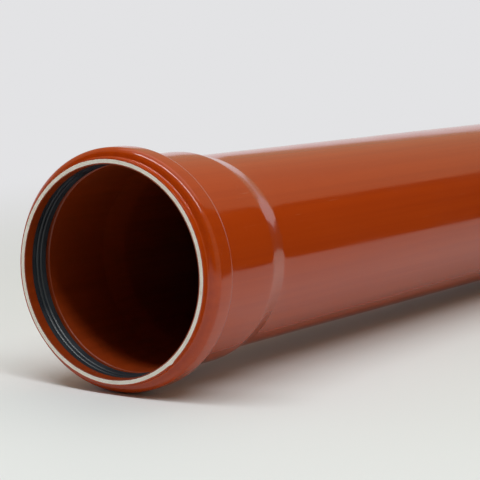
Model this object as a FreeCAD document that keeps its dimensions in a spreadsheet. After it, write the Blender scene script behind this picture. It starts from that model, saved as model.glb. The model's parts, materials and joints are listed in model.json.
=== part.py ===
import FreeCAD, Part
import math
import os
import re

import Sketcher

# A length of sewer pipe with a push-fit socket. Its wall is one extrusion of unplasticised PVC, with
# a pale foamed core between two orange-brown skins that can't be taken apart, so it is one solid.
# One end is widened into a socket whose bead holds a rubber sealing ring, and the other end is a
# plain spigot with a chamfer.
#
# Each piece is turned about the pipe's axis, the X axis of its own body. The socket's mouth is at
# X = 0 and the spigot end at the far end of X. The Placement of every body then lays the whole pipe
# on the floor, where it rests on the bead and on the end of the barrel, so the axis dips a little
# towards the spigot. The origin is on the floor, under the middle of the pipe.

doc = FreeCAD.newDocument("sewer_pipe")

# ---------------------------------------------------------------- sizes, in mm and degrees
SIZES = [
    ("laying_length", 1000.0),     # from the end of the shoulder to the spigot end
    ("pipe_diameter", 110.0),      # outside of the barrel
    ("wall_thickness", 3.2),
    ("socket_depth", 66.0),        # from the mouth to the start of the shoulder
    ("socket_clearance", 0.3),     # between the socket bore and the spigot that slides into it
    ("lip_clearance", 1.25),       # between that spigot and the lip in front of the seal
    ("lip_length", 3.0),           # level outside of the lip, up to the valley before the bead
    ("chamber_depth", 6.3),        # of the seal chamber, from the socket bore to its roof
    ("bead_length", 8.8),          # level top of the bead over the chamber
    ("front_slope", 78.0),         # of the bead's front wall against the axis
    ("rear_slope", 75.0),          # of the bead's rear wall
    ("shoulder_slope", 12.0),      # of the cone between socket and barrel
    ("chamber_radius", 0.8),       # corners at the roof of the chamber; the bead's edges run round them
    ("valley_radius", 1.2),        # outer corners at the foot of the bead
    ("lip_edge", 1.0),             # radius of the lip's inner edge, at the chamber
    ("bore_edge", 0.8),            # radius of the socket bore's front edge, at the chamber
    ("shoulder_radius", 14.0),     # outer bends at both ends of the shoulder
    ("chamfer_length", 6.0),
    ("chamfer_slope", 15.0),
    ("seal_gap", 0.2),             # between the sealing ring and the walls of its chamber
    ("seal_clearance", 0.5),       # between the spigot and the ring's rounded lip
    ("seal_front_height", 2.6),    # of the ring's front corner over the spigot
    ("seal_heel_height", 3.5),     # of the ring's rear corner over the spigot
    ("seal_tip", 0.7),             # radius of the rounded lip
    ("seal_lip_gap", 2.2),         # from the rounded lip to the socket bore's front edge
]

sheet = doc.addObject("Spreadsheet::Sheet", "Sizes")
for row, (alias, number) in enumerate(SIZES, start=1):
    sheet.set(f"A{row}", alias)
    sheet.set(f"B{row}", str(number))
    sheet.setAlias(f"B{row}", alias)
doc.recompute()


def bound(text):
    """An expression of the document, from one written with the bare names of the sheet."""
    return re.sub(r"\b([a-z]+(?:_[a-z]+)+)\b", r"Sizes.\1", text)


def number(text):
    """The present value of such an expression."""
    value = sheet.evalExpression(bound(text))
    return float(getattr(value, "Value", value))


# ---------------------------------------------------------------- places along the axis
# The outside of the wall, from the mouth: lip, valley, bead, foot, socket, shoulder and barrel.
# Every bend is an arc, and the place of a bend is the centre of its arc. The two walls of the bead
# are straight and as thick as the pipe's wall, so the inside bends follow from the outside ones.

PIPE_R = "(pipe_diameter / 2)"
LIP_BORE_R = f"({PIPE_R} + lip_clearance)"
LIP_R = f"({LIP_BORE_R} + wall_thickness)"
SOCKET_BORE_R = f"({PIPE_R} + socket_clearance)"
SOCKET_R = f"({SOCKET_BORE_R} + wall_thickness)"
CHAMBER_R = f"({SOCKET_BORE_R} + chamber_depth)"
BEAD_R = f"({CHAMBER_R} + wall_thickness)"
CREST_RADIUS = "(chamber_radius + wall_thickness)"


def run(normal, rise, slope):
    """Axial distance between two bends joined by a straight wall.

    normal is the distance between their centres across that wall, rise the difference of their
    radii from the pipe's axis, and slope the angle of the wall against the axis.
    """
    return f"((({normal}) + ({rise}) * cos({slope})) / sin({slope}))"


VALLEY_Z = f"({LIP_R} + valley_radius)"
ROOF_Z = f"({CHAMBER_R} - chamber_radius)"      # bends of the roof and of the crest around it
FOOT_Z = f"({SOCKET_R} + valley_radius)"
LIP_EDGE_Z = f"({LIP_BORE_R} + lip_edge)"
BORE_EDGE_Z = f"({SOCKET_BORE_R} + bore_edge)"
SHOULDER_TOP_Z = f"({SOCKET_R} - shoulder_radius)"
SHOULDER_END_Z = f"({PIPE_R} + shoulder_radius)"

VALLEY_X = "lip_length"
ROOF_FRONT_X = f"({VALLEY_X} + " + run(
    f"valley_radius + {CREST_RADIUS}", f"{ROOF_Z} - {VALLEY_Z}", "front_slope") + ")"
ROOF_REAR_X = f"({ROOF_FRONT_X} + bead_length)"
FOOT_X = f"({ROOF_REAR_X} + " + run(
    f"valley_radius + {CREST_RADIUS}", f"{ROOF_Z} - {FOOT_Z}", "rear_slope") + ")"
LIP_EDGE_X = f"({VALLEY_X} + " + run(
    "valley_radius + wall_thickness - lip_edge", f"{LIP_EDGE_Z} - {VALLEY_Z}", "front_slope") + ")"
BORE_EDGE_X = f"({FOOT_X} - " + run(
    "valley_radius + wall_thickness - bore_edge", f"{BORE_EDGE_Z} - {FOOT_Z}", "rear_slope") + ")"

SHOULDER_TOP_X = "socket_depth"
SHOULDER_END_X = f"({SHOULDER_TOP_X} + " + run(
    "2 * shoulder_radius", f"{SHOULDER_TOP_Z} - {SHOULDER_END_Z}", "shoulder_slope") + ")"
PIPE_END_X = f"({SHOULDER_END_X} + laying_length)"
CHAMFER_X = f"({PIPE_END_X} - chamfer_length)"
TIP_R = f"({PIPE_R} - chamfer_length * tan(chamfer_slope))"

# ---------------------------------------------------------------- how the pipe lies
DIP = f"asin(({BEAD_R} - {PIPE_R}) / ({CHAMFER_X} - {ROOF_REAR_X}))"
MIDDLE_X = f"(({PIPE_END_X} * cos({DIP}) + ({TIP_R} - {LIP_R}) * sin({DIP})) / 2)"
MOUTH_HEIGHT = f"({CHAMFER_X} * sin({DIP}) + {PIPE_R} * cos({DIP}))"


def lay_down(body):
    """Turns a body about Y by the dip and sets it on the floor, centred along X."""
    body.Placement = FreeCAD.Placement(
        FreeCAD.Vector(0, 0, 0), FreeCAD.Rotation(FreeCAD.Vector(0, 1, 0), 1))
    body.setExpression(".Placement.Rotation.Angle", bound(DIP))
    body.setExpression(".Placement.Base.x", bound(f"-{MIDDLE_X}"))
    body.setExpression(".Placement.Base.z", bound(MOUTH_HEIGHT))


# ---------------------------------------------------------------- sketches of a turned section
ORIGIN, Y_AXIS = -1, -2                  # the sketch's own point and upright axis
START, END, CENTRE = 1, 2, 3             # points of a line or arc


class Outline:
    """A closed section in a body's XZ plane, drawn edge by edge and held by the sheet."""

    def __init__(self, body, name):
        self.sketch = body.newObject("Sketcher::SketchObject", name)
        plane = next(f for f in body.Origin.OriginFeatures if f.Role == "XZ_Plane")
        self.sketch.AttachmentSupport = [(plane, "")]
        self.sketch.MapMode = "FlatFace"

    def hold(self, kind, *places, value=None):
        """One constraint, with its expression where it has one."""
        if value is None:
            self.sketch.addConstraint(Sketcher.Constraint(kind, *places))
            return
        index = self.sketch.addConstraint(Sketcher.Constraint(kind, *places, number(value)))
        self.sketch.setExpression(f"Constraints[{index}]", bound(value))

    def put(self, edge, point, x, z):
        """Holds a point of an edge at x along the axis and z away from it."""
        self.hold("DistanceX", ORIGIN, 1, edge, point, value=x)
        self.hold("DistanceY", ORIGIN, 1, edge, point, value=z)

    def line(self, x1, z1, x2, z2):
        return self.sketch.addGeometry(
            Part.LineSegment(FreeCAD.Vector(x1, z1, 0), FreeCAD.Vector(x2, z2, 0)), False)

    def bend(self, x, z, radius, heading_in, heading_out):
        """A held arc, and its first and last point along the outline.

        The headings are the directions of the outline before and after the bend, in degrees.
        """
        left_turn = number(heading_out) > number(heading_in)
        side = -90 if left_turn else 90
        angles = sorted(number(heading) + side for heading in (heading_in, heading_out))
        circle = Part.Circle(
            FreeCAD.Vector(number(x), number(z), 0), FreeCAD.Vector(0, 0, 1), number(radius))
        first, last = (math.radians(angle) for angle in angles)
        edge = self.sketch.addGeometry(Part.ArcOfCircle(circle, first, last), False)
        self.put(edge, CENTRE, x, z)
        self.hold("Radius", edge, value=radius)
        return (edge, START, END) if left_turn else (edge, END, START)

    def point(self, edge, place):
        return self.sketch.getPoint(edge, place)

    def chain(self, bends, start, end):
        """Straight edges and bends in turn, from start (x, z) to end (x, z).

        Gives the first and the last straight edge.
        """
        arcs = [self.bend(*bend) for bend in bends]
        corners = [FreeCAD.Vector(number(start[0]), number(start[1]), 0)]
        for edge, first, last in arcs:
            corners += [self.point(edge, first), self.point(edge, last)]
        corners.append(FreeCAD.Vector(number(end[0]), number(end[1]), 0))
        lines = [
            self.line(a.x, a.y, b.x, b.y) for a, b in zip(corners[0::2], corners[1::2])]
        for index, (edge, first, last) in enumerate(arcs):
            self.hold("Tangent", lines[index], END, edge, first)
            self.hold("Tangent", edge, last, lines[index + 1], START)
        return lines[0], lines[-1]

    def polyline(self, first, points, last):
        """Straight edges from a drawn point through held points to another drawn point."""
        stops = [self.point(*first)]
        stops += [FreeCAD.Vector(number(x), number(z), 0) for x, z in points]
        stops.append(self.point(*last))
        before = first
        for index, (a, b) in enumerate(zip(stops, stops[1:])):
            edge = self.line(a.x, a.y, b.x, b.y)
            self.hold("Coincident", *before, edge, START)
            if index < len(points):
                self.put(edge, END, *points[index])
            before = (edge, END)
        self.hold("Coincident", *before, *last)

    def turn(self, body, name):
        """The solid that the section sweeps in a full turn about the pipe's axis."""
        solid = body.newObject("PartDesign::Revolution", name)
        solid.Profile = self.sketch
        solid.ReferenceAxis = (self.sketch, ["H_Axis"])
        solid.Angle = 360.0
        return solid


# The directions before and after each bend of the wall, from the mouth to the barrel
HEADINGS = [
    ("0", "front_slope"), ("front_slope", "0"), ("0", "-rear_slope"), ("-rear_slope", "0"),
    ("0", "-shoulder_slope"), ("-shoulder_slope", "0"),
]


# ---------------------------------------------------------------- the pipe
def make_pipe():
    """The wall, as a section between the bends of its outside and those of its inside."""
    body = doc.addObject("PartDesign::Body", "pipe")
    body.Label = "pipe"
    outline = Outline(body, "pipe_section")

    outside = [
        (VALLEY_X, VALLEY_Z, "valley_radius"),
        (ROOF_FRONT_X, ROOF_Z, CREST_RADIUS),
        (ROOF_REAR_X, ROOF_Z, CREST_RADIUS),
        (FOOT_X, FOOT_Z, "valley_radius"),
        (SHOULDER_TOP_X, SHOULDER_TOP_Z, "shoulder_radius"),
        (SHOULDER_END_X, SHOULDER_END_Z, "shoulder_radius"),
    ]
    inside = [
        (LIP_EDGE_X, LIP_EDGE_Z, "lip_edge"),
        (ROOF_FRONT_X, ROOF_Z, "chamber_radius"),
        (ROOF_REAR_X, ROOF_Z, "chamber_radius"),
        (BORE_EDGE_X, BORE_EDGE_Z, "bore_edge"),
        (SHOULDER_TOP_X, SHOULDER_TOP_Z, "shoulder_radius - wall_thickness"),
        (SHOULDER_END_X, SHOULDER_END_Z, "shoulder_radius + wall_thickness"),
    ]
    surfaces = []
    for places, mouth_r, end_x, end_r in (
            (outside, LIP_R, CHAMFER_X, PIPE_R),
            (inside, LIP_BORE_R, PIPE_END_X, f"({PIPE_R} - wall_thickness)")):
        bends = [place + heading for place, heading in zip(places, HEADINGS)]
        first, last = outline.chain(bends, ("0", mouth_r), (end_x, end_r))
        outline.hold("PointOnObject", first, START, Y_AXIS)
        outline.hold("Horizontal", first)
        outline.hold("DistanceX", ORIGIN, 1, last, END, value=end_x)
        outline.hold("Horizontal", last)
        surfaces.append((first, last))
    (outside_first, outside_last), (inside_first, inside_last) = surfaces
    outline.polyline((outside_last, END), [(PIPE_END_X, TIP_R)], (inside_last, END))
    outline.polyline((outside_first, START), [], (inside_first, START))
    outline.turn(body, "pipe_turned")
    lay_down(body)
    return body


# ---------------------------------------------------------------- the sealing ring
def make_seal_ring():
    """A rubber ring that fills its chamber, with a rounded lip that reaches in towards the bore."""
    body = doc.addObject("PartDesign::Body", "seal_ring")
    body.Label = "seal_ring"
    outline = Outline(body, "seal_ring_section")

    # Bends of the chamber's roof, drawn in by the gap. The two flanks lie along its walls.
    corner = "chamber_radius - seal_gap"
    flank_gap = "valley_radius + wall_thickness + seal_gap"
    front_z = f"({PIPE_R} + seal_front_height)"
    front_x = f"({VALLEY_X} + " + run(
        flank_gap, f"{front_z} - {VALLEY_Z}", "front_slope") + ")"
    heel_z = f"({PIPE_R} + seal_heel_height)"
    heel_x = f"({FOOT_X} - " + run(
        flank_gap, f"{heel_z} - {FOOT_Z}", "rear_slope") + ")"
    flank_front, flank_rear = outline.chain(
        [(ROOF_FRONT_X, ROOF_Z, corner, "front_slope", "0"),
         (ROOF_REAR_X, ROOF_Z, corner, "0", "-rear_slope")],
        (front_x, front_z), (heel_x, heel_z))
    outline.put(flank_front, START, front_x, front_z)
    outline.put(flank_rear, END, heel_x, heel_z)

    # The lip: a rounded tip at the ring's smallest diameter. Its arc starts below the ring, towards
    # the face, and ends towards the heel; the tangents to both set where exactly.
    below, behind = math.radians(-95), math.radians(30)
    tip_x = f"({BORE_EDGE_X} - bore_edge - seal_lip_gap - seal_tip)"
    tip_z = f"({PIPE_R} + seal_clearance + seal_tip)"
    tip = outline.sketch.addGeometry(Part.ArcOfCircle(
        Part.Circle(FreeCAD.Vector(number(tip_x), number(tip_z), 0),
                    FreeCAD.Vector(0, 0, 1), number("seal_tip")), below, behind), False)
    outline.put(tip, CENTRE, tip_x, tip_z)
    outline.hold("Radius", tip, value="seal_tip")
    face_end = outline.point(tip, START)
    face = outline.line(number(front_x), number(front_z), face_end.x, face_end.y)
    outline.hold("Coincident", flank_front, START, face, START)
    outline.hold("Tangent", face, END, tip, START)
    back_start = outline.point(tip, END)
    back = outline.line(back_start.x, back_start.y, number(heel_x), number(heel_z))
    outline.hold("Tangent", tip, END, back, START)
    outline.hold("Coincident", back, END, flank_rear, END)
    outline.turn(body, "seal_ring_turned")
    lay_down(body)
    return body


# ---------------------------------------------------------------- build, check and write
pieces = [make_pipe(), make_seal_ring()]
doc.recompute()

for item in doc.Objects:
    for fault in ("Invalid", "Error"):
        if fault in item.State:
            raise RuntimeError(f"{item.Name} is in the state {item.State}")
for piece in pieces:
    if piece.Shape.isNull() or not piece.Shape.isValid() or len(piece.Shape.Solids) != 1:
        raise RuntimeError(f"{piece.Label} has no valid single solid")

os.makedirs("parts", exist_ok=True)
for piece in pieces:
    piece.Shape.exportStep(os.path.join("parts", f"{piece.Label}.step"))
    box = piece.Shape.optimalBoundingBox()
    print(piece.Label, f"volume {piece.Shape.Volume:.1f} mm3,",
          f"x {box.XMin:.2f} to {box.XMax:.2f}, z {box.ZMin:.3f} to {box.ZMax:.3f}")
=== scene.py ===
"""A length of sewer pipe lying on a pale floor: a foamed core between two orange-brown skins, a
push-fit socket with its rubber sealing ring, and a chamfered spigot end.

Lengths are in metres. Every piece is turned about the pipe's axis in the pipe's own frame, where X
runs along the axis from the mouth of the socket, and is then laid where the CAD model's mounts say.
"""
import json
import math

import bpy
import numpy as np
from mathutils import Matrix, Vector, noise


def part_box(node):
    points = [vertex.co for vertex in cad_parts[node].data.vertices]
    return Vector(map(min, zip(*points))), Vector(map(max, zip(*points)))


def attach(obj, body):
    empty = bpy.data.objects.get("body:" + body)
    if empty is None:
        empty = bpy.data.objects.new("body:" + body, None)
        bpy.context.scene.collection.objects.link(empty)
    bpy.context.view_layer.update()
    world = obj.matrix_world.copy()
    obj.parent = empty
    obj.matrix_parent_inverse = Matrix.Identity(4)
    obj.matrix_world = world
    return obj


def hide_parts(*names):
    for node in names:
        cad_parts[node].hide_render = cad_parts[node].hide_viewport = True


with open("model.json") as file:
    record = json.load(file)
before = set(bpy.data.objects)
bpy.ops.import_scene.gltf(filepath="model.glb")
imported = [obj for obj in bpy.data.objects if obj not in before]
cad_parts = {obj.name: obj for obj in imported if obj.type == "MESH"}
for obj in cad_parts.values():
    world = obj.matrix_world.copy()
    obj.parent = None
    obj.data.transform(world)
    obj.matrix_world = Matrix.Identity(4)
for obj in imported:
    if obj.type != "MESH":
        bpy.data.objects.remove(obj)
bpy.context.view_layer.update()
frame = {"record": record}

MM = 0.001

# ---------------------------------------------------------------- sizes that the CAD model states
mounts = {mount["name"]: mount for mount in frame["record"]["mounts"]}
PIPE_R = mounts["spigot"]["dims"]["r_mm"] * MM
SOCKET_BORE_R = mounts["socket"]["dims"]["r_mm"] * MM
BARREL_BORE_R = mounts["barrel_bore"]["dims"]["r_mm"] * MM
BEAD_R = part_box("pipe")[1][1]
WALL = PIPE_R - BARREL_BORE_R
AXIS = Vector(mounts["spigot"]["axis"])          # from the mouth to the spigot end
BARREL_LENGTH = mounts["barrel_bore"]["dims"]["length_mm"] * MM
BARREL_MIDDLE = Vector(mounts["barrel_bore"]["pos_m"])

SKIN = 0.6 * MM                                  # of the outer and of the inner skin

# The bends of the wall, as in the CAD model
SOCKET_DEPTH = 66.0 * MM
LIP_BORE_R = PIPE_R + 1.25 * MM
LIP_LENGTH = 3.0 * MM
BEAD_LENGTH = 8.8 * MM
FRONT_SLOPE = 78.0
REAR_SLOPE = 75.0
SHOULDER_SLOPE = 12.0
CHAMBER_RADIUS = 0.8 * MM
VALLEY_RADIUS = 1.2 * MM
LIP_EDGE = 1.0 * MM
BORE_EDGE = 0.8 * MM
SHOULDER_RADIUS = 14.0 * MM
CHAMFER_LENGTH = 6.0 * MM
CHAMFER_SLOPE = 15.0
SEAL_GAP = 0.2 * MM
SEAL_TIP_R = PIPE_R + 0.5 * MM
SEAL_TIP = 0.7 * MM
SEAL_FRONT_R = PIPE_R + 2.6 * MM
SEAL_HEEL_R = PIPE_R + 3.5 * MM
SEAL_LIP_GAP = 2.2 * MM
SEAL_GROOVES = (0.35, 0.62)                      # mould grooves in its face, from lip to front
GROOVE_DEPTH = 0.35 * MM
GROOVE_WIDTH = 0.06                              # as a share of the face, like the places
FACE_STEPS = 48                                  # points along the face

LIP_R = LIP_BORE_R + WALL
SOCKET_R = SOCKET_BORE_R + WALL
CREST_RADIUS = CHAMBER_RADIUS + WALL

SEGMENTS = 384                                   # round the pipe
BEND_STEP = 7.5                                  # degrees between the points of a bend
SHARP_EDGE = 35.0                                # degrees from which an edge isn't smoothed


def sin(degrees):
    return math.sin(math.radians(degrees))


def cos(degrees):
    return math.cos(math.radians(degrees))


def run(normal, rise, slope):
    """Axial distance between two bends joined by a straight wall at a slope."""
    return (normal + rise * cos(slope)) / sin(slope)


VALLEY = (LIP_LENGTH, LIP_R + VALLEY_RADIUS)
ROOF_R = BEAD_R - CREST_RADIUS
FOOT_R = SOCKET_R + VALLEY_RADIUS
ROOF_FRONT = (VALLEY[0] + run(VALLEY_RADIUS + CREST_RADIUS, ROOF_R - VALLEY[1], FRONT_SLOPE), ROOF_R)
ROOF_REAR = (ROOF_FRONT[0] + BEAD_LENGTH, ROOF_R)
FOOT = (ROOF_REAR[0] + run(VALLEY_RADIUS + CREST_RADIUS, ROOF_R - FOOT_R, REAR_SLOPE), FOOT_R)
LIP_EDGE_R = LIP_BORE_R + LIP_EDGE
LIP_EDGE_AT = (
    VALLEY[0] + run(VALLEY_RADIUS + WALL - LIP_EDGE, LIP_EDGE_R - VALLEY[1], FRONT_SLOPE), LIP_EDGE_R)
BORE_EDGE_R = SOCKET_BORE_R + BORE_EDGE
BORE_EDGE_AT = (
    FOOT[0] - run(VALLEY_RADIUS + WALL - BORE_EDGE, BORE_EDGE_R - FOOT[1], REAR_SLOPE), BORE_EDGE_R)
SHOULDER_TOP = (SOCKET_DEPTH, SOCKET_R - SHOULDER_RADIUS)
SHOULDER_END_R = PIPE_R + SHOULDER_RADIUS
SHOULDER_END = (
    SOCKET_DEPTH + run(2 * SHOULDER_RADIUS, SHOULDER_TOP[1] - SHOULDER_END_R, SHOULDER_SLOPE),
    SHOULDER_END_R)
PIPE_END = SHOULDER_END[0] + BARREL_LENGTH
CHAMFER_START = PIPE_END - CHAMFER_LENGTH
CHAMFER_FALL = math.tan(math.radians(CHAMFER_SLOPE))
TIP_R = PIPE_R - CHAMFER_LENGTH * CHAMFER_FALL
SKIN_END = CHAMFER_START + SKIN / CHAMFER_FALL   # where the chamfer cuts through the outer skin

# The pipe's frame: X along the axis from the mouth, Z the side that faces up
MOUTH = BARREL_MIDDLE - AXIS * (SHOULDER_END[0] + BARREL_LENGTH / 2)
SIDE = Vector((0, 1, 0))
PIPE_FRAME = Matrix.Translation(MOUTH) @ Matrix(
    (AXIS, SIDE, AXIS.cross(SIDE))).transposed().to_4x4()


# ---------------------------------------------------------------- sections
def bend(centre, radius, heading_in, heading_out):
    """Points of an arc of the section, from one heading to the next, in degrees."""
    side = -90 if heading_out > heading_in else 90
    steps = max(2, round(abs(heading_out - heading_in) / BEND_STEP))
    return [
        (centre[0] + radius * cos(angle + side), centre[1] + radius * sin(angle + side))
        for angle in np.linspace(heading_in, heading_out, steps + 1)]


def outside(depth, end):
    """The surface at a depth under the outside of the wall, from the mouth to an end."""
    hollow = VALLEY_RADIUS + depth
    crest = CREST_RADIUS - depth
    return (
        [(0.0, LIP_R - depth)]
        + bend(VALLEY, hollow, 0, FRONT_SLOPE)
        + bend(ROOF_FRONT, crest, FRONT_SLOPE, 0)
        + bend(ROOF_REAR, crest, 0, -REAR_SLOPE)
        + bend(FOOT, hollow, -REAR_SLOPE, 0)
        + bend(SHOULDER_TOP, SHOULDER_RADIUS - depth, 0, -SHOULDER_SLOPE)
        + bend(SHOULDER_END, SHOULDER_RADIUS + depth, -SHOULDER_SLOPE, 0)
        + [(end, PIPE_R - depth)])


def inside(depth):
    """The surface at a depth under the inside of the wall."""
    roof = CHAMBER_RADIUS + depth
    return (
        [(0.0, LIP_BORE_R + depth)]
        + bend(LIP_EDGE_AT, LIP_EDGE - depth, 0, FRONT_SLOPE)
        + bend(ROOF_FRONT, roof, FRONT_SLOPE, 0)
        + bend(ROOF_REAR, roof, 0, -REAR_SLOPE)
        + bend(BORE_EDGE_AT, BORE_EDGE - depth, -REAR_SLOPE, 0)
        + bend(SHOULDER_TOP, SHOULDER_RADIUS - WALL + depth, 0, -SHOULDER_SLOPE)
        + bend(SHOULDER_END, SHOULDER_RADIUS + WALL - depth, -SHOULDER_SLOPE, 0)
        + [(PIPE_END, BARREL_BORE_R + depth)])


def divided(points, longest):
    """The same line with its straight runs cut into steps no longer than a length."""
    line = [points[0]]
    for a, b in zip(points, points[1:]):
        steps = max(1, math.ceil(math.dist(a, b) / longest))
        line += [
            (a[0] + (b[0] - a[0]) * k / steps, a[1] + (b[1] - a[1]) * k / steps)
            for k in range(1, steps + 1)]
    return line


# ---------------------------------------------------------------- turned pieces
def turned(name, section, relief=None):
    """A closed section turned about the pipe's axis.

    relief(x, r, angle) gives how far a point moves along the axis and away from it. The angle is
    in degrees from the top of the pipe, positive towards +Y.
    """
    count = len(section)
    angles = np.arange(SEGMENTS) * 360.0 / SEGMENTS
    points = np.empty((SEGMENTS, count, 3))
    for k, angle in enumerate(angles):
        for n, (x, r) in enumerate(section):
            if relief:
                dx, dr = relief(x, r, angle if angle <= 180 else angle - 360)
                x, r = x + dx, r + dr
            points[k, n] = (x, r * sin(angle), r * cos(angle))
    here = np.arange(SEGMENTS * count).reshape(SEGMENTS, count)
    after = np.roll(here, -1, axis=0)
    quads = np.stack(
        [here, np.roll(here, -1, axis=1), np.roll(after, -1, axis=1), after], axis=-1)
    mesh = bpy.data.meshes.new(name)
    mesh.from_pydata(points.reshape(-1, 3).tolist(), [], quads.reshape(-1, 4).tolist())
    mesh.polygons.foreach_set("use_smooth", [True] * len(mesh.polygons))
    mesh.set_sharp_from_angle(angle=math.radians(SHARP_EDGE))
    piece = bpy.data.objects.new(name, mesh)
    bpy.context.scene.collection.objects.link(piece)
    piece.matrix_world = PIPE_FRAME
    return piece


def fbm(x, y, z, octaves=3):
    return noise.fractal(Vector((x, y, z)), 1.0, 2.0, octaves)


def place(angle):
    """Coordinates of a noise that runs round the pipe without a seam."""
    return sin(angle), cos(angle)


def stand_in(piece, node, material):
    piece.data.materials.append(material)
    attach(piece, "root")
    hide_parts(node)


# ---------------------------------------------------------------- relief of the sawn mouth
CUT_BAND = 0.05 * MM                             # how near the mouth's plane a point counts as cut
SAW_DEPTH = 0.05 * MM
EDGE_WANDER = 0.07 * MM                          # how far the layers' edges wander on the cut
WALL_WAVE = 0.03 * MM                            # unevenness of the extruded wall
SMEARS = [                                       # angle from the top, width, both in degrees, and size
    (-137.7, 1.6, 0.6 * MM), (19.0, 3.5, 0.18 * MM), (63.0, 1.2, 0.12 * MM)]


def smear(angle):
    """Foam dragged out over the outer skin by the saw, at a few places round the edge."""
    return sum(
        size * math.exp(-((angle - middle) / width) ** 2) for middle, width, size in SMEARS)


def cut_relief(x, r, angle):
    """The saw's marks on the mouth's face, and the wandering edges between the layers."""
    if x > CUT_BAND:
        return 0.0, 0.0
    a, b = place(angle)
    along = SAW_DEPTH * fbm(a * 40, b * 40, r * 900)
    outer_edge = abs(r - (LIP_R - SKIN)) < CUT_BAND
    inner_edge = abs(r - (LIP_BORE_R + SKIN)) < CUT_BAND
    out = 0.0
    if outer_edge:
        out = EDGE_WANDER * fbm(a * 25, b * 25, 3.1) + smear(angle)
    if inner_edge:
        out = EDGE_WANDER * fbm(a * 25, b * 25, 7.7)
    return max(0.0, along + SAW_DEPTH), out


def wall_relief(x, r, angle):
    """The slight unevenness that extruding and forming leave in a plastic wall."""
    if x <= CUT_BAND or x >= CHAMFER_START:
        return cut_relief(x, r, angle)
    a, b = place(angle)
    return 0.0, WALL_WAVE * fbm(a * 2.2, b * 2.2, x * 9, 2)


# ---------------------------------------------------------------- materials
class Nodes:
    """A material's node tree, with short calls for the nodes used here."""

    def __init__(self, name):
        self.material = bpy.data.materials.new(name)
        self.material.use_nodes = True
        self.tree = self.material.node_tree
        self.shader = self.tree.nodes["Principled BSDF"]
        self.coordinates = self.new("ShaderNodeTexCoord").outputs["Object"]

    def new(self, kind, **settings):
        node = self.tree.nodes.new(kind)
        for key, value in settings.items():
            setattr(node, key, value)
        return node

    def link(self, source, target):
        if isinstance(source, (int, float, tuple)):
            target.default_value = source
        else:
            self.tree.links.new(source, target)

    def stretched(self, scale):
        """The pipe's coordinates, scaled along and across its axis."""
        mapping = self.new("ShaderNodeMapping")
        self.link(self.coordinates, mapping.inputs["Vector"])
        mapping.inputs["Scale"].default_value = scale
        return mapping.outputs["Vector"]

    def noise(self, scale, detail=3.0, roughness=0.55, distortion=0.0):
        node = self.new("ShaderNodeTexNoise")
        self.link(self.stretched(scale), node.inputs["Vector"])
        node.inputs["Scale"].default_value = 1.0
        node.inputs["Detail"].default_value = detail
        node.inputs["Roughness"].default_value = roughness
        node.inputs["Distortion"].default_value = distortion
        return node.outputs["Fac"]

    def cells(self, scale):
        node = self.new("ShaderNodeTexVoronoi", feature="F1")
        self.link(self.stretched(scale), node.inputs["Vector"])
        node.inputs["Scale"].default_value = 1.0
        return node.outputs["Distance"]

    def ramp(self, source, low, high, start=0.0, end=1.0):
        """Maps low to high smoothly onto start to end, clamped."""
        node = self.new("ShaderNodeMapRange", interpolation_type="SMOOTHSTEP")
        self.link(source, node.inputs["Value"])
        for key, value in (
                ("From Min", low), ("From Max", high), ("To Min", start), ("To Max", end)):
            node.inputs[key].default_value = value
        return node.outputs["Result"]

    def math(self, operation, a, b):
        node = self.new("ShaderNodeMath", operation=operation)
        self.link(a, node.inputs[0])
        self.link(b, node.inputs[1])
        return node.outputs["Value"]

    def mix(self, factor, a, b):
        node = self.new("ShaderNodeMix", data_type="RGBA", blend_type="MIX")
        self.link(factor, node.inputs["Factor"])
        self.link(a, node.inputs["A"])
        self.link(b, node.inputs["B"])
        return node.outputs["Result"]

    def bump(self, height, distance, below=None):
        node = self.new("ShaderNodeBump")
        self.link(height, node.inputs["Height"])
        node.inputs["Distance"].default_value = distance
        node.inputs["Strength"].default_value = 1.0
        if below:
            self.link(below, node.inputs["Normal"])
        return node.outputs["Normal"]


OUTER_COLOURS = (0.44, 0.048, 0.001, 1.0), (0.40, 0.041, 0.001, 1.0)
# the inner skin's colours, darkened below the outside's as a painted shade of the pipe's inside
INNER_SHADED_COLOURS = (0.27, 0.032, 0.001, 1.0), (0.22, 0.025, 0.001, 1.0)
SCUFF_COLOUR = (0.62, 0.27, 0.14, 1.0)
SCUFF_SHARE = 0.18
DUST_COLOUR = (0.62, 0.52, 0.42, 1.0)
FOAM_COLOURS = (0.90, 0.85, 0.77, 1.0), (0.80, 0.74, 0.65, 1.0)
# painted shade in the foam's open cells
PIT_SHADE_COLOUR = (0.36, 0.30, 0.22, 1.0)
RUBBED_COLOUR = (0.55, 0.30, 0.18, 1.0)          # skin dragged over the foam
RUBBER_COLOURS = (0.018, 0.023, 0.029, 1.0), (0.028, 0.035, 0.043, 1.0)
RUBBER_DUST_COLOUR = (0.30, 0.27, 0.24, 1.0)


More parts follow.
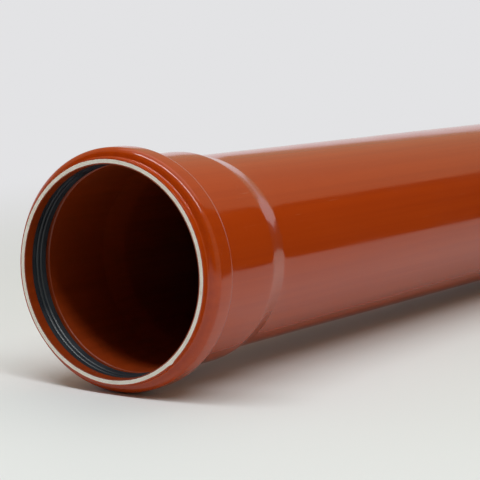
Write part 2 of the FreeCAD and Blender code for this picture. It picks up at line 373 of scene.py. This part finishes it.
def pvc(name, colours, gloss, dust):
    """Extruded orange-brown PVC: drawn streaks, faint scuffs along and round it, and dust."""
    n = Nodes(name)
    streaks = n.noise((2.5, 260, 260), detail=4)
    mottle = n.noise((14, 20, 20), detail=4)
    plain, dark = colours
    colour = n.mix(n.ramp(streaks, 0.35, 0.7), plain, dark)
    colour = n.mix(n.ramp(mottle, 0.35, 0.75, 0.0, 0.5), colour, dark)

    scratches = n.ramp(n.noise((35, 900, 900), detail=2, distortion=0.4), 0.66, 0.74)
    rubbed = n.ramp(n.noise((9, 26, 26), detail=3), 0.54, 0.7)
    scuffs = n.math("MULTIPLY", scratches, rubbed)
    colour = n.mix(n.math("MULTIPLY", scuffs, SCUFF_SHARE), colour, SCUFF_COLOUR)

    grains = n.ramp(n.cells((900, 900, 900)), 0.16, 0.08)
    dusty = n.ramp(n.noise((30, 40, 40), detail=4), 0.5, 0.75)
    specks = n.math("MULTIPLY", n.math("MULTIPLY", grains, dusty), dust)
    colour = n.mix(specks, colour, DUST_COLOUR)
    n.link(colour, n.shader.inputs["Base Color"])

    rough = n.ramp(n.noise((20, 60, 60), detail=4), 0.3, 0.75, gloss, gloss + 0.06)
    rough = n.math("ADD", rough, n.math("MULTIPLY", n.math("MAXIMUM", scuffs, specks), 0.15))
    n.link(rough, n.shader.inputs["Roughness"])
    waves = n.bump(n.noise((25, 70, 70), detail=2), 0.02 * MM)
    lines = n.bump(streaks, 0.004 * MM, below=waves)
    grain = n.bump(n.noise((2500, 2500, 2500), detail=2), 0.002 * MM, below=lines)
    n.link(grain, n.shader.inputs["Normal"])
    n.shader.inputs["IOR"].default_value = 1.5
    return n.material


def foam(name):
    """Sawn foamed PVC: off-white, matt, with open cells darkened by painted shade, and the drag marks of
    the saw.
    """
    n = Nodes(name)
    pits = n.cells((1500, 1500, 1500))
    clouds = n.noise((60, 120, 120), detail=5)
    colour = n.mix(n.ramp(clouds, 0.3, 0.7), *FOAM_COLOURS)
    # painted shade: the open cells are darkened towards their middles
    colour = n.mix(n.ramp(pits, 0.28, 0.1, 0.0, 0.35), colour, PIT_SHADE_COLOUR)
    rubbed = n.ramp(n.noise((100, 90, 90), detail=3), 0.62, 0.78, 0.0, 0.5)
    colour = n.mix(rubbed, colour, RUBBED_COLOUR)
    n.link(colour, n.shader.inputs["Base Color"])
    n.shader.inputs["Roughness"].default_value = 0.8
    marks = n.bump(n.noise((300, 900, 120), detail=3), 0.06 * MM)
    n.link(n.bump(pits, 0.08 * MM, below=marks), n.shader.inputs["Normal"])
    return n.material


def rubber(name):
    """Moulded black rubber with a soft sheen, fine mould lines and a little dust."""
    n = Nodes(name)
    clouds = n.noise((90, 60, 60), detail=4)
    colour = n.mix(n.ramp(clouds, 0.3, 0.7), *RUBBER_COLOURS)
    grains = n.ramp(n.cells((1100, 1100, 1100)), 0.14, 0.06)
    dusty = n.ramp(n.noise((45, 45, 45), detail=4), 0.52, 0.72)
    specks = n.math("MULTIPLY", n.math("MULTIPLY", grains, dusty), 0.6)
    colour = n.mix(specks, colour, RUBBER_DUST_COLOUR)
    n.link(colour, n.shader.inputs["Base Color"])
    n.link(n.ramp(clouds, 0.3, 0.7, 0.28, 0.38), n.shader.inputs["Roughness"])
    lines = n.bump(n.noise((1600, 20, 20), detail=1), 0.02 * MM)
    n.link(n.bump(n.noise((1800, 1800, 1800), detail=3), 0.01 * MM, below=lines),
           n.shader.inputs["Normal"])
    return n.material


# ---------------------------------------------------------------- the pieces
LONG_STEP = 12 * MM
CUT_STEP = 0.3 * MM
SEAL_STEP = 1 * MM


def cut_line(start, end):
    """The line of a cut face, between two ends that belong to other lines."""
    return divided([start, end], CUT_STEP)[1:-1]


def make_outer_skin():
    top = divided(outside(0, CHAMFER_START), LONG_STEP)
    under = outside(SKIN, SKIN_END)
    section = top + under[::-1]
    piece = turned("outer_skin_body", section, wall_relief)
    stand_in(piece, "pipe", pvc("pvc_outside", OUTER_COLOURS, 0.09, 0.25))


def make_foam_core():
    top = outside(SKIN, SKIN_END)
    under = inside(SKIN)
    tip = (PIPE_END, TIP_R)
    section = (
        top + cut_line(top[-1], tip) + [tip] + cut_line(tip, under[-1])
        + under[::-1] + cut_line(under[0], top[0]))
    piece = turned("foam_core_body", section, cut_relief)
    stand_in(piece, "pipe", foam("sawn_foam"))


def make_inner_skin():
    top = inside(SKIN)
    under = divided(inside(0), LONG_STEP)
    piece = turned("inner_skin_body", top + under[::-1], wall_relief)
    # the inside's darker colours are a painted shade of the bore
    stand_in(piece, "pipe", pvc("pvc_inside_shaded", INNER_SHADED_COLOURS, 0.4, 0.9))


def grooved_face(start, end):
    """Points between the ends of the ring's face, which has shallow mould grooves round it."""
    points = []
    for k in range(1, FACE_STEPS):
        share = k / FACE_STEPS
        deep = GROOVE_DEPTH * sum(
            math.exp(-((share - place) / GROOVE_WIDTH) ** 2) for place in SEAL_GROOVES)
        points.append((
            start[0] + (end[0] - start[0]) * share, start[1] + (end[1] - start[1]) * share + deep))
    return points


def make_seal_ring():
    corner = CHAMBER_RADIUS - SEAL_GAP
    flank = VALLEY_RADIUS + WALL + SEAL_GAP
    front = (VALLEY[0] + run(flank, SEAL_FRONT_R - VALLEY[1], FRONT_SLOPE), SEAL_FRONT_R)
    heel = (FOOT[0] - run(flank, SEAL_HEEL_R - FOOT[1], REAR_SLOPE), SEAL_HEEL_R)
    tip = (BORE_EDGE_AT[0] - BORE_EDGE - SEAL_LIP_GAP - SEAL_TIP, SEAL_TIP_R + SEAL_TIP)
    face_angle = math.degrees(math.atan2(tip[1] - front[1], tip[0] - front[0]))
    reach = math.dist(front, tip)
    face_heading = face_angle - math.degrees(math.asin(SEAL_TIP / reach))
    back_reach = math.dist(tip, heel)
    back_angle = math.degrees(math.atan2(heel[1] - tip[1], heel[0] - tip[0]))
    back_heading = back_angle + math.degrees(math.asin(SEAL_TIP / back_reach))
    lip = bend(tip, SEAL_TIP, face_heading, back_heading)
    section = (
        divided(
            [front] + bend(ROOF_FRONT, corner, FRONT_SLOPE, 0)
            + bend(ROOF_REAR, corner, 0, -REAR_SLOPE) + [heel], SEAL_STEP)
        + lip[::-1] + grooved_face(lip[0], front))
    piece = turned("seal_ring_body", section)
    stand_in(piece, "seal_ring", rubber("seal_rubber"))


make_outer_skin()
make_foam_core()
make_inner_skin()
make_seal_ring()

# ---------------------------------------------------------------- floor, lamps and camera
FLOOR_COLOUR = (0.765, 0.78, 0.81, 1.0)
BACKGROUND = (0.768, 0.768, 0.783, 1.0)
ROOM_LIGHT = (0.37, 0.35, 0.23, 1.0)             # a warm room, darker than the white stage
BACKDROP_LIGHT = (0.80, 0.80, 0.82, 1.0)
FLOOR_SIZE = 60.0
FADE_START = 0.12                                # Y where the floor starts to fade into the background
FADE_END = 0.8
LAMP_COLOUR = (0.94, 0.97, 1.0)


def flat_piece(name, corners):
    """A flat piece of the stage with four corners."""
    mesh = bpy.data.meshes.new(name)
    mesh.from_pydata(corners, [], [(0, 1, 2, 3)])
    piece = bpy.data.objects.new(name, mesh)
    bpy.context.scene.collection.objects.link(piece)
    return piece


def make_floor():
    half = FLOOR_SIZE / 2
    floor = flat_piece(
        "floor", [(-half, -half, 0), (half, -half, 0), (half, half, 0), (-half, half, 0)])
    n = Nodes("floor_paint")
    n.shader.inputs["Base Color"].default_value = FLOOR_COLOUR
    n.shader.inputs["Roughness"].default_value = 0.6
    n.shader.inputs["Specular IOR Level"].default_value = 0.2
    split = n.new("ShaderNodeSeparateXYZ")
    n.link(n.coordinates, split.inputs["Vector"])
    behind = n.ramp(split.outputs["Y"], FADE_START, FADE_END)
    seen = n.new("ShaderNodeLightPath").outputs["Is Camera Ray"]
    glow = n.new("ShaderNodeEmission")
    glow.inputs["Color"].default_value = BACKGROUND
    mix = n.new("ShaderNodeMixShader")
    n.link(n.math("MULTIPLY", behind, seen), mix.inputs["Fac"])
    n.link(n.shader.outputs["BSDF"], mix.inputs[1])
    n.link(glow.outputs["Emission"], mix.inputs[2])
    n.link(mix.outputs["Shader"], n.tree.nodes["Material Output"].inputs["Surface"])
    floor.data.materials.append(n.material)


def make_panel(name, centre, size, radiance):
    """A soft lamp: a level panel of a size along X and Y, which sends a radiance downwards."""
    lamp = bpy.data.lights.new(name, "AREA")
    lamp.shape = "RECTANGLE"
    lamp.color = LAMP_COLOUR
    lamp.size, lamp.size_y = size
    lamp.energy = radiance * math.pi * size[0] * size[1]
    panel = bpy.data.objects.new(name, lamp)
    panel.location = centre
    bpy.context.scene.collection.objects.link(panel)


def make_flag(name, corners):
    """A black card that keeps the bright room off the pipe; the camera doesn't see it."""
    flag = flat_piece(name, corners)
    n = Nodes(name + "_cloth")
    n.shader.inputs["Base Color"].default_value = (0.02, 0.02, 0.02, 1.0)
    n.shader.inputs["Roughness"].default_value = 1.0
    flag.data.materials.append(n.material)
    flag.visible_camera = False
    return flag


def make_backdrop(name, corners):
    """A white wall that lights the pipe's far side and shows in its gloss; the camera doesn't see it."""
    wall = flat_piece(name, corners)
    n = Nodes(name + "_paper")
    glow = n.new("ShaderNodeEmission")
    glow.inputs["Color"].default_value = BACKDROP_LIGHT
    n.link(glow.outputs["Emission"], n.tree.nodes["Material Output"].inputs["Surface"])
    wall.data.materials.append(n.material)
    wall.visible_camera = False


def make_world():
    world = bpy.data.worlds.new("room")
    bpy.context.scene.world = world
    world.use_nodes = True
    nodes, links = world.node_tree.nodes, world.node_tree.links
    background = nodes["Background"]
    path = nodes.new("ShaderNodeLightPath")
    mix = nodes.new("ShaderNodeMix")
    mix.data_type = "RGBA"
    links.new(path.outputs["Is Camera Ray"], mix.inputs["Factor"])
    mix.inputs["A"].default_value = ROOM_LIGHT
    mix.inputs["B"].default_value = BACKGROUND
    links.new(mix.outputs["Result"], background.inputs["Color"])
    background.inputs["Strength"].default_value = 1.0


make_floor()
make_world()

SIDE_FLAG_FOOT_Y = -0.36
SIDE_FLAG_Y, SIDE_FLAG_TOP = -0.46, 0.68
side_flag = make_flag("side_flag", [
    (-0.25, SIDE_FLAG_FOOT_Y, 0.001), (3.0, SIDE_FLAG_FOOT_Y, 0.001),
    (3.0, SIDE_FLAG_Y, SIDE_FLAG_TOP), (-0.25, SIDE_FLAG_Y, SIDE_FLAG_TOP)])
side_flag.visible_diffuse = False                # it only takes the room out of the gloss
side_flag.visible_shadow = False
FRONT_FLAG_X, FRONT_FLAG_TOP = MOUTH.x - 1.1, 1.3
make_flag("front_flag", [
    (FRONT_FLAG_X, -1.6, 0.001), (FRONT_FLAG_X, 1.6, 0.001),
    (FRONT_FLAG_X, 1.6, FRONT_FLAG_TOP), (FRONT_FLAG_X, -1.6, FRONT_FLAG_TOP)])
BACKDROP_X, BACKDROP_Y, BACKDROP_TOP = 3.0, 3.0, 1.05
make_backdrop("backdrop_end", [
    (BACKDROP_X, -0.5, 0.0), (BACKDROP_X, BACKDROP_Y, 0.0),
    (BACKDROP_X, BACKDROP_Y, BACKDROP_TOP), (BACKDROP_X, -0.5, BACKDROP_TOP)])
make_backdrop("backdrop_side", [
    (-1.5, BACKDROP_Y, 0.0), (BACKDROP_X, BACKDROP_Y, 0.0),
    (BACKDROP_X, BACKDROP_Y, BACKDROP_TOP), (-1.5, BACKDROP_Y, BACKDROP_TOP)])

STRIP_X = MOUTH.x - 0.45
STRIP_SIZE = (0.20, 0.96)
STRIP_HEIGHT = 1.5
STRIP_RADIANCE, CEILING_RADIANCE = 17.0, 0.55
for name, y in (("strip_far", 0.12), ("strip_near", -0.90)):
    make_panel(name, (STRIP_X, y, STRIP_HEIGHT), STRIP_SIZE, STRIP_RADIANCE)
make_panel("ceiling", (0.5, 0.0, 2.0), (2.6, 2.6), CEILING_RADIANCE)

CAMERA_FROM_MOUTH = Vector((-0.7500, -0.5688, 0.1422))
CAMERA_AZIMUTH = -56.96
CAMERA_ELEVATION = 7.60
LENS = 137.3


def make_camera():
    data = bpy.data.cameras.new("camera")
    data.lens = LENS
    data.sensor_width = 36.0
    data.clip_start = 0.01
    camera = bpy.data.objects.new("camera", data)
    bpy.context.scene.collection.objects.link(camera)
    camera.location = MOUTH + CAMERA_FROM_MOUTH
    camera.rotation_euler = (
        math.radians(90 - CAMERA_ELEVATION), 0, math.radians(CAMERA_AZIMUTH))
    bpy.context.scene.camera = camera


make_camera()
bpy.context.scene.view_settings.view_transform = "Standard"
